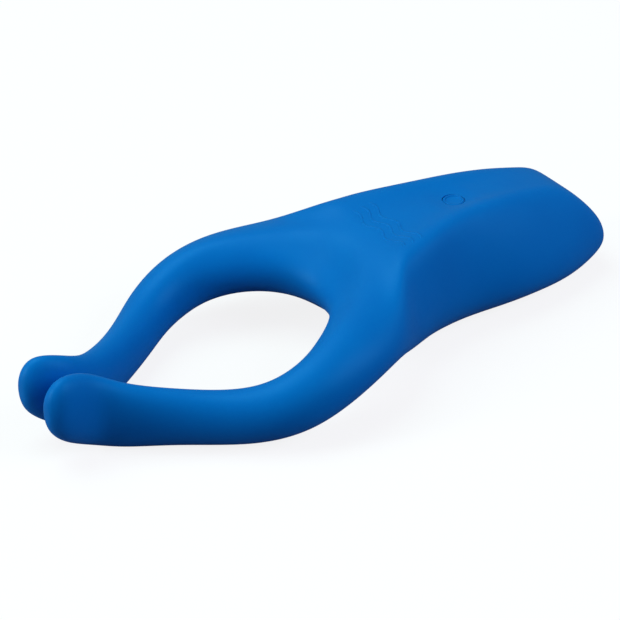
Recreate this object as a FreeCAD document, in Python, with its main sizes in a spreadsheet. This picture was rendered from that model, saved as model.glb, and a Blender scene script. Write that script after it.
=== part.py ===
"""Two-armed hand-held massager: a silicone wishbone over a hard inner case, in millimetres.

-X points to the arm tips, +X to the end of the handle, +Y to the left arm and +Z up.
The origin is under the middle of the object, on the surface that it rests on.
"""
import FreeCAD, Part
import math
import os
import re

import Sketcher
from FreeCAD import Rotation, Vector

UP = Vector(0, 0, 1)
FORWARD = Vector(1, 0, 0)
SIDES = (("left", 1), ("right", -1))
REACH = 200.0  # longer than the object, for cutting tools
LEAST_SHRINK = 0.15  # of the small last rings, when the handle's shape is moved inwards
BUTTON_PLACE = ("button_along", "button_across")

DIMENSIONS = {
    # silicone skin and the hard case inside it
    "skin_wall": 2.6,
    "case_gap": 0.1,
    "case_wall": 1.5,
    "parting_height": 14.0,
    "parting_gap": 0.06,
    # upright line that each arm bends about, and the round joint in the silicone about it
    "pivot_along": -7.6,
    "pivot_across": 24.9,
    "pivot_radius": 10.4,
    "pivot_gap": 0.3,
    # saddle between the arms, in the centre plane
    "saddle_along": 15.5,
    "saddle_height": 14.2,
    "saddle_half_width": 17.0,
    "saddle_half_height": 9.0,
    "saddle_lean": 0.25,
    # power button on the top face
    "button_along": 39.8,
    "button_across": -1.6,
    "button_radius": 2.9,
    "button_gap": 0.08,
    "button_base": 28.3,
    "button_top": 29.8,
    "button_rim_radius": 2.6,
    "button_rim_width": 0.55,
    "button_rim_height": 0.35,
    "button_socket_depth": 0.8,
    "button_well_radius": 6.5,
    "button_well_depth": 0.5,
    "plunger_radius": 1.5,
    "plunger_flange_radius": 2.3,
    "plunger_flange_thickness": 0.5,
    "plunger_base": 25.2,
    # circuit board and the switch on it
    "board_along": 39.0,
    "board_length": 34.0,
    "board_width": 15.0,
    "board_thickness": 1.0,
    "board_base": 20.1,
    "board_screw_reach": 13.0,
    "switch_size": 6.0,
    "switch_thickness": 3.2,
    "switch_bore_radius": 1.3,
    "switch_bore_depth": 1.6,
    "stem_radius": 1.25,
    "stem_length": 2.0,
    "lamp_length": 1.6,
    "lamp_width": 0.8,
    "lamp_thickness": 0.6,
    # battery
    "battery_along": 30.0,
    "battery_length": 32.0,
    "battery_width": 20.0,
    "battery_thickness": 6.5,
    "battery_base": 6.8,
    "battery_corner": 1.5,
    "pad_length": 30.0,
    "pad_width": 18.0,
    # motor in the handle
    "motor_front": 57.0,
    "motor_length": 15.0,
    "motor_radius": 6.0,
    "motor_flat": 10.0,
    "motor_height": 12.0,
    "motor_shaft_radius": 0.75,
    "motor_shaft_front": 49.6,
    "motor_shaft_depth": 5.0,
    "motor_bore_gap": 0.05,
    "weight_front": 50.4,
    "weight_thickness": 4.5,
    "weight_radius": 5.4,
    "weight_hub_radius": 1.7,
    "cradle_front": 60.0,
    "cradle_length": 10.0,
    "cradle_half_width": 8.0,
    "cradle_top": 14.0,
    "strap_front": 60.5,
    "strap_length": 4.5,
    "strap_thickness": 1.2,
    "motor_play": 0.05,
    # charging contacts and magnets on the underside
    "pin_along": 51.0,
    "pin_across": 2.5,
    "pin_radius": 1.1,
    "pin_base": 0.15,
    "pin_top": 6.0,
    "magnet_across": 7.2,
    "magnet_radius": 2.4,
    "magnet_base": 3.9,
    "magnet_thickness": 2.0,
    "contact_gap": 0.05,
    # screws that close the case and hold the board
    "boss_radius": 2.2,
    "screw_radius": 0.85,
    "screw_head_radius": 1.6,
    "screw_head_thickness": 1.2,
    "screw_head_base": 8.0,
    "screw_length": 9.0,
    "screw_gap": 0.05,
    "front_screw_along": 13.0,
    "front_screw_across": 14.5,
    "rear_screw_along": 57.5,
    "rear_screw_across": 11.2,
    "board_screw_radius": 0.6,
    "board_screw_head_radius": 1.2,
    "board_screw_head_thickness": 0.9,
    "board_screw_length": 3.4,
    "board_boss_radius": 1.8,
    # flexible core and cable in each arm
    "core_radius": 1.2,
    "core_drop": 1.7,
    "cable_radius": 0.8,
    "cable_rise": 1.7,
    "cord_gap": 0.1,
    "cord_start_along": 14.0,
    "cord_start_across": 9.5,
    "cord_start_height": 16.6,
    "cord_end_along": -68.4,
    "cord_end_across": 5.3,
    "cord_end_height": 10.9,
    "cord_end_share": 0.6,
    # vibrator in each arm tip
    "pod_along": -74.0,
    "pod_across": 5.2,
    "pod_height": 13.3,
    "pod_radius": 5.4,
    "pod_thickness": 4.4,
    "pod_wall": 0.6,
    "pod_gap": 0.1,
    "coin_radius": 4.7,
    "coin_thickness": 3.0,
    "coin_wall": 0.4,
    "rotor_radius": 4.0,
    "rotor_thickness": 1.4,
    "rotor_hub_radius": 0.9,
    "coin_shaft_radius": 0.4,
}

# Stations along the handle, as the smooth surface's control rings: place along it, half width
# low down, half width between the two soft creases of the top face, height of the creases,
# height of the underside, how far the side stands beyond the top, and how far the top face
# dips between its creases.
HANDLE_STATIONS = {
    "chest": (11.0, 25.8, 18.6, 31.5, 0.2, 0.0, 2.2),
    "neck": (23.0, 20.9, 15.5, 32.8, -0.3, 0.0, 2.33),
    "waist": (35.0, 19.5, 11.4, 33.1, -0.3, 0.0, 2.35),
    "grip": (47.0, 21.3, 9.9, 32.0, -0.3, 0.0, 2.2),
    "haunch": (58.0, 20.8, 9.5, 29.4, -0.3, 0.0, 0.6),
    "rump": (67.0, 19.5, 8.2, 26.9, -0.3, 0.0, -0.1),
    "tail": (73.6, 15.6, 8.4, 24.6, -0.3, 4.4, -0.2),
    "end": (83.1, 12.2, 11.1, 14.1, 4.0, 1.2, -0.2),
    "cap": (83.6, 5.0, 4.0, 10.0, 6.0, 0.0, 0.0),
}
HANDLE_FIELDS = ("along", "low_width", "crest_width", "crest_height", "underside", "slant", "dip")

# Stations along one arm, also control rings: place along the object, distance from the
# centre plane, height of the middle, half width seen from above, half height, and how far
# the top leans in towards the other arm.
ARM_STATIONS = {
    "shoulder": (-0.2, 21.6, 16.9, 11.3, 8.4, 1.5),
    "upper": (-14.5, 29.1, 15.4, 9.0, 8.6, 2.0),
    "elbow": (-25.4, 30.4, 11.7, 7.7, 8.8, 1.0),
    "bow": (-34.7, 27.3, 8.7, 6.5, 7.7, 0.0),
    "middle": (-42.8, 21.5, 7.3, 5.75, 7.3, 0.0),
    "lower": (-53.6, 13.8, 7.8, 5.1, 7.8, 0.0),
    "wrist": (-64.1, 7.7, 8.8, 4.7, 9.2, 0.0),
    "pad": (-70.4, 3.8, 11.5, 4.5, 11.0, 0.0),
    "ball": (-79.6, 5.9, 15.8, 4.4, 9.8, 0.0),
    "brow": (-83.3, 5.9, 15.9, 2.5, 5.2, 0.0),
    "point": (-83.6, 5.9, 15.9, 0.8, 1.6, 0.0),
}
ARM_FIELDS = ("along", "across", "height", "half_width", "half_height", "lean")

doc = FreeCAD.newDocument("TwoArmedMassager")
sheet = doc.addObject("Spreadsheet::Sheet", "Dimensions")


def fill_sheet():
    """Write every driving dimension into the sheet, one alias a row."""
    rows = dict(DIMENSIONS)
    for stations, fields in ((HANDLE_STATIONS, HANDLE_FIELDS), (ARM_STATIONS, ARM_FIELDS)):
        for station, values in stations.items():
            for field, value in zip(fields, values):
                rows[f"{station}_{field}"] = value
    for row, (alias, value) in enumerate(rows.items(), start=1):
        sheet.set(f"A{row}", alias.replace("_", " "))
        sheet.set(f"B{row}", str(value))
        sheet.setAlias(f"B{row}", alias)
    doc.recompute()


def dim(alias):
    """The number in the sheet under this alias."""
    return float(sheet.get(alias))


def number(formula):
    """The value of an expression on the sheet."""
    return float(sheet.evalExpression(bound(formula)))


def bound(text):
    """An expression on the sheet: each word of the text becomes that cell."""
    return re.sub(r"[a-z][a-z_]+", r"Dimensions.\g<0>", text)


def bind(item, **formulas):
    """Bind properties of an item to the sheet."""
    for name, formula in formulas.items():
        item.setExpression(name, bound(formula))


def place(item, along, across, height, rotation=None):
    """Turn an item and bind where it stands to the sheet."""
    if rotation is not None:
        item.Placement = FreeCAD.Placement(Vector(), rotation)
    for letter, formula in zip("xyz", (along, across, height)):
        item.setExpression(f"Placement.Base.{letter}", bound(formula))


def free_form(label, shape):
    """A sub-part whose surface no sketch or primitive gives."""
    item = doc.addObject("Part::Feature", label)
    item.Shape = shape
    return item


def cylinder(name, radius, height, centre, axis=UP):
    item = doc.addObject("Part::Cylinder", name)
    bind(item, Radius=radius, Height=height)
    place(item, *centre, Rotation(UP, axis))
    return item


def box(name, length, width, height, corner):
    item = doc.addObject("Part::Box", name)
    bind(item, Length=length, Width=width, Height=height)
    place(item, *corner)
    return item


def boolean(kind, label, base, tool):
    item = doc.addObject(f"Part::{kind}", label)
    item.Base = base
    item.Tool = tool
    return item


def fuse_all(label, items):
    item = doc.addObject("Part::MultiFuse", label)
    item.Shapes = items
    return item


# ---- sketched bodies ---------------------------------------------------------------


def sketch_in(body, name, role="XY_Plane"):
    sketch = body.newObject("Sketcher::SketchObject", name)
    plane = next(item for item in body.Origin.OriginFeatures if item.Role == role)
    sketch.AttachmentSupport = [(plane, "")]
    sketch.MapMode = "FlatFace"
    return sketch


def draw_rectangle(sketch, length, width):
    """A rectangle about the sketch's origin, with its two sizes bound to the sheet."""
    half_x = dim(length) / 2
    half_y = dim(width) / 2
    corners = [Vector(sx * half_x, sy * half_y, 0) for sx, sy in ((-1, -1), (1, -1), (1, 1), (-1, 1))]
    for start, stop in zip(corners, corners[1:] + corners[:1]):
        sketch.addGeometry(Part.LineSegment(start, stop), False)
    for line in range(4):
        sketch.addConstraint(Sketcher.Constraint("Coincident", line, 2, (line + 1) % 4, 1))
        sketch.addConstraint(Sketcher.Constraint("Vertical" if line % 2 else "Horizontal", line))
    sketch.addConstraint(Sketcher.Constraint("Symmetric", 0, 1, 1, 2, -1, 1))
    for kind, line, name, alias in (("DistanceX", 0, "length", length), ("DistanceY", 1, "width", width)):
        index = sketch.addConstraint(Sketcher.Constraint(kind, line, 1, line, 2, dim(alias)))
        sketch.renameConstraint(index, name)
        sketch.setExpression(f"Constraints.{name}", bound(alias))


def draw_circle(sketch, name, radius, middle=(0.0, 0.0), offset=None):
    """A circle with a bound radius, at the origin or at a bound distance along the sketch's X."""
    circle = sketch.addGeometry(Part.Circle(Vector(*middle, 0), UP, number(radius)), False)
    index = sketch.addConstraint(Sketcher.Constraint("Radius", circle, number(radius)))
    sketch.renameConstraint(index, f"{name}_radius")
    sketch.setExpression(f"Constraints.{name}_radius", bound(radius))
    if offset is None:
        sketch.addConstraint(Sketcher.Constraint("Coincident", circle, 3, -1, 1))
        return
    sketch.addConstraint(Sketcher.Constraint("PointOnObject", circle, 3, -1))
    index = sketch.addConstraint(Sketcher.Constraint("DistanceX", -1, 1, circle, 3, middle[0]))
    sketch.renameConstraint(index, f"{name}_offset")
    sketch.setExpression(f"Constraints.{name}_offset", bound(offset))


def extrude(body, kind, sketch, length, reverse=False):
    """A PartDesign Pad or Pocket of a sketch, its length bound to the sheet."""
    feature = body.newObject(f"PartDesign::{kind}", f"{body.Name}_{kind.lower()}")
    feature.Profile = sketch
    feature.Reversed = reverse
    bind(feature, Length=length)
    body.Tip = feature
    return feature


def plate(label, length, width, thickness):
    """A rectangular plate, its middle on the body's origin and its underside at z = 0."""
    body = doc.addObject("PartDesign::Body", label)
    sketch = sketch_in(body, f"{label}_outline")
    draw_rectangle(sketch, length, width)
    extrude(body, "Pad", sketch, thickness)
    return body


def disc(label, radius, thickness):
    """A round plate on the body's origin."""
    body = doc.addObject("PartDesign::Body", label)
    sketch = sketch_in(body, f"{label}_outline")
    draw_circle(sketch, "rim", radius)
    extrude(body, "Pad", sketch, thickness)
    return body


def bore(body, radius, depth):
    """A round pocket up from the body's origin plane, checked by the volume it takes."""
    doc.recompute()
    before = body.Shape.Volume
    sketch = sketch_in(body, f"{body.Name}_bore")
    draw_circle(sketch, "bore", radius)
    extrude(body, "Pocket", sketch, depth, reverse=True)
    doc.recompute()
    if body.Shape.Volume >= before:
        raise RuntimeError(f"{body.Label}: the bore cuts nothing")


# ---- free-form outer surface ---------------------------------------------------------


def tube_solid(rings):
    """Smooth closed tube with the rings' points as its control points, flat at both ends."""
    count = len(rings)
    # Each ring starts on its inner side, so that the seam stays clear of the centre plane.
    poles = [ring[9:] + ring[:9] for ring in rings]
    around = list(range(len(rings[0]) + 1))
    along = list(range(count - 2))
    surface = Part.BSplineSurface()
    surface.buildFromPolesMultsKnots(
        poles,
        [4] + [1] * (count - 4) + [4],
        [1] * len(around),
        along,
        around,
        False,
        True,
        3,
        3,
    )
    wall = surface.toShape()
    ends = [Part.Face(Part.Wire([surface.uIso(at).toShape()])) for at in (along[0], along[-1])]
    shell = Part.Shell([wall] + ends)
    shell.sewShape()
    solid = Part.makeSolid(shell)
    return solid if solid.Volume > 0 else solid.reversed()


def handle_station(station):
    return [dim(f"{station}_{field}") for field in HANDLE_FIELDS]


def handle_points(values, inset=0.0):
    """Control points round the handle, from the underside up the left side and down the right."""
    along, low, crest, crest_height, underside, slant, dip = values
    height = crest_height - underside
    top = height - dip
    left = [
        (0.3, 0.0, 0.0),
        (0.4, 0.55 * low, 0.0),
        (0.8, low, 0.22 * height),
        (1.0, 0.62 * low + 0.38 * crest + 0.6, 0.62 * height),
        (0.0, crest, height),
        (0.0, 0.5 * crest, top),
        (0.0, 0.0, top),
    ]
    middle = 0.5 * top
    shrink_y = max(1 - inset / low, LEAST_SHRINK)
    shrink_z = max(1 - inset / middle, LEAST_SHRINK)
    ring = left + [(share, -y, z) for share, y, z in reversed(left[1:-1])]
    points = []
    for share, y, z in ring:
        x = along + share * slant
        if x > dim("waist_along"):
            x -= inset * (x - dim("waist_along")) / (dim("cap_along") - dim("waist_along"))
        points.append(Vector(x, y * shrink_y, underside + middle + (z - middle) * shrink_z))
    return points


def case_solid(inset):
    """The shape of the handle moved inwards by inset, behind the arms' shoulders."""
    return tube_solid([handle_points(handle_station(name), inset) for name in HANDLE_STATIONS])


def arm_middle(station):
    return Vector(*(dim(f"{station}_{field}") for field in ARM_FIELDS[:3]))


def ellipse_points(middle, outward, half_width, half_height, lean=0.0):
    """Twelve points round an upright ellipse, from its lowest point outward and up."""
    ring = []
    for step in range(12):
        turn = math.radians(30 * step - 90)
        inward = 0.0 if step > 6 else lean * max(0, math.sin(turn))
        across = outward * (half_width * math.cos(turn) - inward)
        ring.append(middle + across + UP * (half_height * math.sin(turn)))
    return ring


def arm_rings():
    """Rings round the left arm from its shoulder out to its tip."""
    names = list(ARM_STATIONS)
    middles = [arm_middle(name) for name in names]
    start = Vector(dim("chest_along"), dim("chest_crest_width"), 0)
    rings = []
    for name, back, middle, ahead in zip(names, [start] + middles, middles, middles[1:] + [None]):
        heading = -FORWARD if name in ("ball", "brow", "point") else ahead - back
        outward = Vector(-heading.y, heading.x, 0).normalize()
        if outward.y < 0:
            outward = -outward
        shape = [dim(f"{name}_{field}") for field in ARM_FIELDS[3:]]
        rings.append(ellipse_points(middle, outward, *shape))
    return rings


def crotch_rings(shoulder):
    """Two rings that carry the arm's inner side round the crotch and its outer side into the handle."""
    chest = handle_station("chest")
    neck = handle_station("neck")
    between = [(a + b) / 2 for a, b in zip(chest, neck)]
    middle = Vector(dim("saddle_along"), 0, dim("saddle_height"))
    saddle = ellipse_points(middle, FORWARD, dim("saddle_half_width"), dim("saddle_half_height"))
    lean = dim("saddle_lean")
    saddle = [point + FORWARD * (lean * (middle.z - point.z)) for point in saddle]
    first = handle_points(chest)[:7] + saddle[7:]
    second = handle_points(between)[:7] + [Vector(point.x, -point.y, point.z) for point in shoulder[7:]]
    return [first, second]


def skin_surface():
    """Handle and both arms as one solid, flat where it rests: a left half and its mirror image."""
    arm = arm_rings()
    rings = arm[::-1] + crotch_rings(arm[0])
    rings += [handle_points(handle_station(station)) for station in HANDLE_STATIONS if station != "chest"]
    left = tube_solid(rings).common(Part.makeBox(2 * REACH, REACH, REACH, Vector(-REACH, 0, 0)))
    right = left.mirror(Vector(), Vector(0, 1, 0))
    return left.fuse(right).removeSplitter()


def upright(radius, along, across, base, top):
    return Part.makeCylinder(radius, top - base, Vector(along, across, base))


def arm_region(side, growth):
    """All that moves with one arm: the space ahead of its pivot line and a round end about it."""
    heading = math.degrees(
        math.atan2(
            side * (dim("upper_across") - dim("shoulder_across")),
            dim("upper_along") - dim("shoulder_along"),
        )
    )
    pivot = Vector(dim("pivot_along"), side * dim("pivot_across"), 0)
    ahead = Part.makeBox(REACH, 2 * REACH, REACH, Vector(0, -REACH, -REACH / 2))
    ahead.Placement = FreeCAD.Placement(pivot, Rotation(UP, heading))
    own_half = Part.makeBox(2 * REACH, REACH, REACH, Vector(-REACH, 0, -REACH / 2))
    if side < 0:
        own_half.translate(Vector(0, -REACH, 0))
    round_end = upright(dim("pivot_radius") + growth, pivot.x, pivot.y, -REACH / 2, REACH / 2)
    return ahead.common(own_half).fuse(round_end)


def cord(side, lift, radius):
    """Round cord from inside the case to the pod in the arm's tip."""
    points = [Vector(dim("cord_start_along"), dim("cord_start_across"), dim("cord_start_height") + lift)]
    for station in ("shoulder", "upper", "elbow", "bow", "middle", "lower", "wrist"):
        points.append(arm_middle(station) + UP * lift)
    end_height = dim("cord_end_height") + lift * dim("cord_end_share")
    points.append(Vector(dim("cord_end_along"), dim("cord_end_across"), end_height))
    points = [Vector(point.x, side * point.y, point.z) for point in points]
    curve = Part.BSplineCurve()
    curve.interpolate(points)
    circle = Part.Circle(points[0], curve.tangent(curve.FirstParameter)[0], radius)
    path = Part.Wire([curve.toShape()])
    return path.makePipeShell([Part.Wire([circle.toShape()])], True, True)


def cords(side, growth):
    """The core and the cable of one arm as cutting tools."""
    return [
        cord(side, -dim("core_drop"), dim("core_radius") + growth),
        cord(side, dim("cable_rise"), dim("cable_radius") + growth),
    ]


def pod_room(side):
    """Room for the vibrator pod in an arm's tip."""
    thickness = dim("pod_thickness") + 2 * dim("pod_gap")
    start = Vector(dim("pod_along"), side * (dim("pod_across") - thickness / 2), dim("pod_height"))
    outward = Vector(0, side, 0)
    return Part.makeCylinder(dim("pod_radius") + dim("pod_gap"), thickness, start, outward)


def button_room():
    """The button's hole through the skin, and the shallow well around it."""
    well = dim("button_well_radius")
    depth = dim("button_well_depth")
    ball = (well**2 + depth**2) / (2 * depth)
    middle = Vector(dim("button_along"), dim("button_across"), dim("button_top") + ball)
    hole_radius = dim("button_radius") + dim("button_gap")
    hole = upright(hole_radius, middle.x, middle.y, dim("parting_height"), REACH)
    return [Part.makeSphere(ball, middle), hole]


def pin_holes():
    radius = dim("pin_radius") + dim("contact_gap")
    return [upright(radius, dim("pin_along"), side * dim("pin_across"), -1, REACH / 8) for _, side in SIDES]


def make_skins():
    surface = skin_surface()
    handle = surface
    for name, side in SIDES:
        handle = handle.cut([arm_region(side, dim("pivot_gap"))] + cords(side, dim("cord_gap")))
        arm = surface.common(arm_region(side, 0.0))
        arm = arm.cut(cords(side, dim("cord_gap")) + [pod_room(side)])
        free_form(f"{name}_arm_skin", arm)
    case_room = case_solid(dim("skin_wall"))
    free_form("handle_skin", handle.cut([case_room] + button_room() + pin_holes()))


def make_cords():
    for name, side in SIDES:
        core, cable = cords(side, 0.0)
        free_form(f"{name}_arm_core", core)
        free_form(f"{name}_arm_cable", cable)


# ---- hard case -------------------------------------------------------------------------


CASE_SCREW_PLACES = [
    (f"{end}_screw_along", f"{side} * {end}_screw_across") for end in ("front", "rear") for _, side in SIDES
]
BOARD_SCREW_PLACES = [(f"board_along + {way} * board_screw_reach", "0") for way in (-1, 1)]


def upright_at(place_formulas, radius, base, top):
    """An upright cutting tool or boss at a place given as formulas."""
    along, across = (number(formula) for formula in place_formulas)
    return upright(radius, along, across, base, top)


def beyond(along):
    """The space on the handle side of a plane across the object."""
    return Part.makeBox(REACH, REACH, REACH, Vector(along, -REACH / 2, -REACH / 2))


def case_inside(extra=0.0):
    """The hollow of the hard case, less extra all round."""
    wall = dim("skin_wall") + dim("case_gap") + dim("case_wall")
    front = dim("chest_along") + dim("case_gap") + dim("case_wall")
    return case_solid(wall + extra).common(beyond(front + extra))


def make_case():
    outside = case_solid(dim("skin_wall") + dim("case_gap"))
    outside = outside.common(beyond(dim("chest_along") + dim("case_gap")))
    bosses = [upright_at(spot, dim("boss_radius"), 0, REACH) for spot in CASE_SCREW_PLACES]
    board_top = dim("board_base") + dim("board_thickness") + dim("contact_gap")
    bosses += [upright_at(spot, dim("board_boss_radius"), board_top, REACH) for spot in BOARD_SCREW_PLACES]
    case = outside.cut(case_inside()).fuse([boss.common(outside) for boss in bosses])
    gap = dim("screw_gap")
    head_top = dim("screw_head_base") + dim("screw_head_thickness")
    shank_top = head_top + dim("screw_length") + gap
    tools = pin_holes()
    for spot in CASE_SCREW_PLACES:
        tools.append(upright_at(spot, dim("screw_head_radius") + gap, 0, head_top + gap))
        tools.append(upright_at(spot, dim("screw_radius") + gap, 0, shank_top))
    board_shank_top = dim("board_base") + dim("board_screw_length") + gap
    for spot in BOARD_SCREW_PLACES:
        tools.append(upright_at(spot, dim("board_screw_radius") + gap, 0, board_shank_top))
    magnet_radius = dim("magnet_radius") + dim("contact_gap")
    magnet_floor = dim("magnet_base") - dim("contact_gap")
    for _, side in SIDES:
        tools += cords(side, dim("cord_gap"))
        spot = ("pin_along", f"{side} * magnet_across")
        tools.append(upright_at(spot, magnet_radius, magnet_floor, dim("parting_height")))
    plunger_hole = dim("plunger_radius") + 2 * dim("contact_gap")
    tools.append(upright_at(BUTTON_PLACE, plunger_hole, dim("board_base"), REACH))
    case = case.cut(tools)
    parting = dim("parting_height")
    half_gap = dim("parting_gap") / 2
    upper_space = Part.makeBox(2 * REACH, 2 * REACH, REACH, Vector(-REACH, -REACH, parting + half_gap))
    lower_space = upper_space.translated(Vector(0, 0, -REACH - 2 * half_gap))
    free_form("upper_case", case.common(upper_space))
    free_form("lower_case", case.common(lower_space))


def make_screws(label, places, kind, base):
    """All screws of one kind as one node; base is where the head starts."""
    pieces = []
    for count, (along, across) in enumerate(places):
        spot = (along, across, base)
        head = f"{kind}_head_thickness"
        reach = f"{kind}_head_thickness + {kind}_length"
        pieces.append(cylinder(f"{label}_head_{count}", f"{kind}_head_radius", head, spot))
        pieces.append(cylinder(f"{label}_shank_{count}", f"{kind}_radius", reach, spot))
    fuse_all(label, pieces)


# ---- button, board and battery ---------------------------------------------------------


def make_button():
    """Silicone button with a raised rim, the plunger under it and the switch's stem."""
    along, across = BUTTON_PLACE
    height = "button_top - button_base"
    plug = cylinder("button_plug", "button_radius", height, (along, across, "button_base"))
    rim_top = (along, across, "button_top")
    rim_out = cylinder("button_rim_out", "button_rim_radius", "button_rim_height", rim_top)
    rim_width = "button_rim_radius - button_rim_width"
    rim_in = cylinder("button_rim_in", rim_width, "button_rim_height", rim_top)
    rim = boolean("Cut", "button_rim_ring", rim_out, rim_in)
    socket_radius = "plunger_radius + contact_gap"
    socket = cylinder("button_socket", socket_radius, "button_socket_depth", (along, across, "button_base"))
    boolean("Cut", "power_button", boolean("Fuse", "button_cap", plug, rim), socket)

    post_height = "button_base + button_socket_depth - plunger_base - contact_gap"
    post = cylinder("plunger_post", "plunger_radius", post_height, (along, across, "plunger_base"))
    flange_size = ("plunger_flange_radius", "plunger_flange_thickness")
    flange = cylinder("plunger_flange", *flange_size, (along, across, "plunger_base"))
    boolean("Fuse", "button_plunger", post, flange)
    stem_base = (along, across, "plunger_base - stem_length")
    cylinder("switch_stem", "stem_radius", "stem_length", stem_base)


def make_board():
    board = plate("circuit_board", "board_length", "board_width", "board_thickness")
    place(board, "board_along", "0", "board_base")
    holes = sketch_in(board, "circuit_board_holes")
    hole = "board_screw_radius + screw_gap"
    reach = dim("board_screw_reach")
    draw_circle(holes, "front", hole, (-reach, 0.0), "-board_screw_reach")
    draw_circle(holes, "rear", hole, (reach, 0.0), "board_screw_reach")
    extrude(board, "Pocket", holes, "board_thickness", reverse=True)

    switch = plate("switch_body", "switch_size", "switch_size", "switch_thickness")
    place(switch, *BUTTON_PLACE, "board_base + board_thickness")
    doc.recompute()
    well = sketch_in(switch, "switch_body_bore")
    draw_circle(well, "stem", "switch_bore_radius")
    well.AttachmentOffset = FreeCAD.Placement(Vector(0, 0, dim("switch_thickness")), Rotation())
    well.setExpression("AttachmentOffset.Base.z", bound("switch_thickness"))
    extrude(switch, "Pocket", well, "switch_bore_depth")

    lamp = plate("status_lamp", "lamp_length", "lamp_width", "lamp_thickness")
    place(lamp, "button_along + switch_size", "-button_across", "board_base + board_thickness")


def make_battery():
    battery = plate("battery", "battery_length", "battery_width", "battery_thickness")
    doc.recompute()
    block = battery.Tip
    upright_edges = [
        f"Edge{count}"
        for count, edge in enumerate(block.Shape.Edges, start=1)
        if abs(edge.tangentAt(edge.FirstParameter).z) > 0.5
    ]
    rounding = battery.newObject("PartDesign::Fillet", "battery_corners")
    rounding.Base = (block, upright_edges)
    bind(rounding, Radius="battery_corner")
    battery.Tip = rounding
    place(battery, "battery_along", "0", "battery_base")

    length, width = dim("pad_length"), dim("pad_width")
    corner = Vector(dim("battery_along") - length / 2, -width / 2, 0)
    block = Part.makeBox(length, width, dim("battery_base") - dim("contact_gap"), corner)
    free_form("battery_cushion", block.common(case_inside(dim("contact_gap"))))


def make_contacts():
    pins = []
    magnets = []
    for name, side in SIDES:
        pin_spot = ("pin_along", f"{side} * pin_across", "pin_base")
        pins.append(cylinder(f"{name}_pin", "pin_radius", "pin_top - pin_base", pin_spot))
        magnet_spot = ("pin_along", f"{side} * magnet_across", "magnet_base")
        magnets.append(cylinder(f"{name}_magnet", "magnet_radius", "magnet_thickness", magnet_spot))
    fuse_all("charging_pins", pins)
    fuse_all("charging_magnets", magnets)


# ---- motors ----------------------------------------------------------------------------


def half_weight(label, radius, thickness, hub_radius, shaft_radius, spot, axis):
    """Off-centre weight: a half disc with a full hub, bored for its shaft."""
    half = cylinder(f"{label}_half", radius, thickness, spot, axis)
    half.Angle = 180
    hub = cylinder(f"{label}_hub", hub_radius, thickness, spot, axis)
    bore_radius = f"{shaft_radius} + motor_bore_gap"
    hole = cylinder(f"{label}_hole", bore_radius, thickness, spot, axis)
    return boolean("Cut", label, boolean("Fuse", f"{label}_solid", half, hub), hole)


def make_handle_motor():
    middle = ("motor_front", "0", "motor_height")
    barrel = cylinder("motor_barrel", "motor_radius", "motor_length", middle, FORWARD)
    flats = box(
        "motor_flats",
        "motor_length",
        "2 * motor_radius",
        "motor_flat",
        ("motor_front", "-motor_radius", "motor_height - motor_flat / 2"),
    )
    body = boolean("Common", "motor_body", barrel, flats)
    bore_radius = "motor_shaft_radius + motor_bore_gap"
    bore_depth = "motor_shaft_depth + motor_bore_gap"
    boolean("Cut", "motor_case", body, cylinder("motor_bore", bore_radius, bore_depth, middle, FORWARD))
    shaft_length = "motor_front + motor_shaft_depth - motor_shaft_front"
    shaft_front = ("motor_shaft_front", "0", "motor_height")
    cylinder("motor_shaft", "motor_shaft_radius", shaft_length, shaft_front, FORWARD)
    size = ("weight_radius", "weight_thickness", "weight_hub_radius", "motor_shaft_radius")
    half_weight("motor_weight", *size, ("weight_front", "0", "motor_height"), FORWARD)


def make_motor_mount():
    """Cradle on the case's floor and the strap over the motor."""
    play = dim("motor_play")
    width = dim("cradle_half_width")
    radius = dim("motor_radius") + play
    front = dim("cradle_front")
    length = dim("cradle_length")
    middle = Vector(front - 1, 0, dim("motor_height"))
    barrel = Part.makeCylinder(radius, length + 2, middle, FORWARD)
    motor_floor = middle.z - dim("motor_flat") / 2 - play
    trough = Part.makeBox(length + 2, 2 * radius, REACH, Vector(front - 1, -radius, middle.z))
    above_floor = Part.makeBox(REACH, REACH, REACH, Vector(0, -REACH / 2, motor_floor))
    block = Part.makeBox(length, 2 * width, dim("cradle_top"), Vector(front, -width, 0))
    cradle = block.common(case_inside(dim("contact_gap"))).cut(barrel.fuse(trough).common(above_floor))
    free_form("motor_cradle", cradle)

    leg = "cradle_top + contact_gap"
    inside_top = "motor_height + motor_flat / 2 + motor_play"
    outer = box(
        "strap_outer",
        "strap_length",
        "2 * cradle_half_width",
        f"{inside_top} + strap_thickness - {leg.replace('+', '-')}",
        ("strap_front", "-cradle_half_width", leg),
    )
    inner = box(
        "strap_inner",
        "strap_length",
        "2 * (motor_radius + motor_play)",
        f"{inside_top} - {leg.replace('+', '-')}",
        ("strap_front", "-(motor_radius + motor_play)", leg),
    )
    boolean("Cut", "motor_strap", outer, inner)


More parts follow.
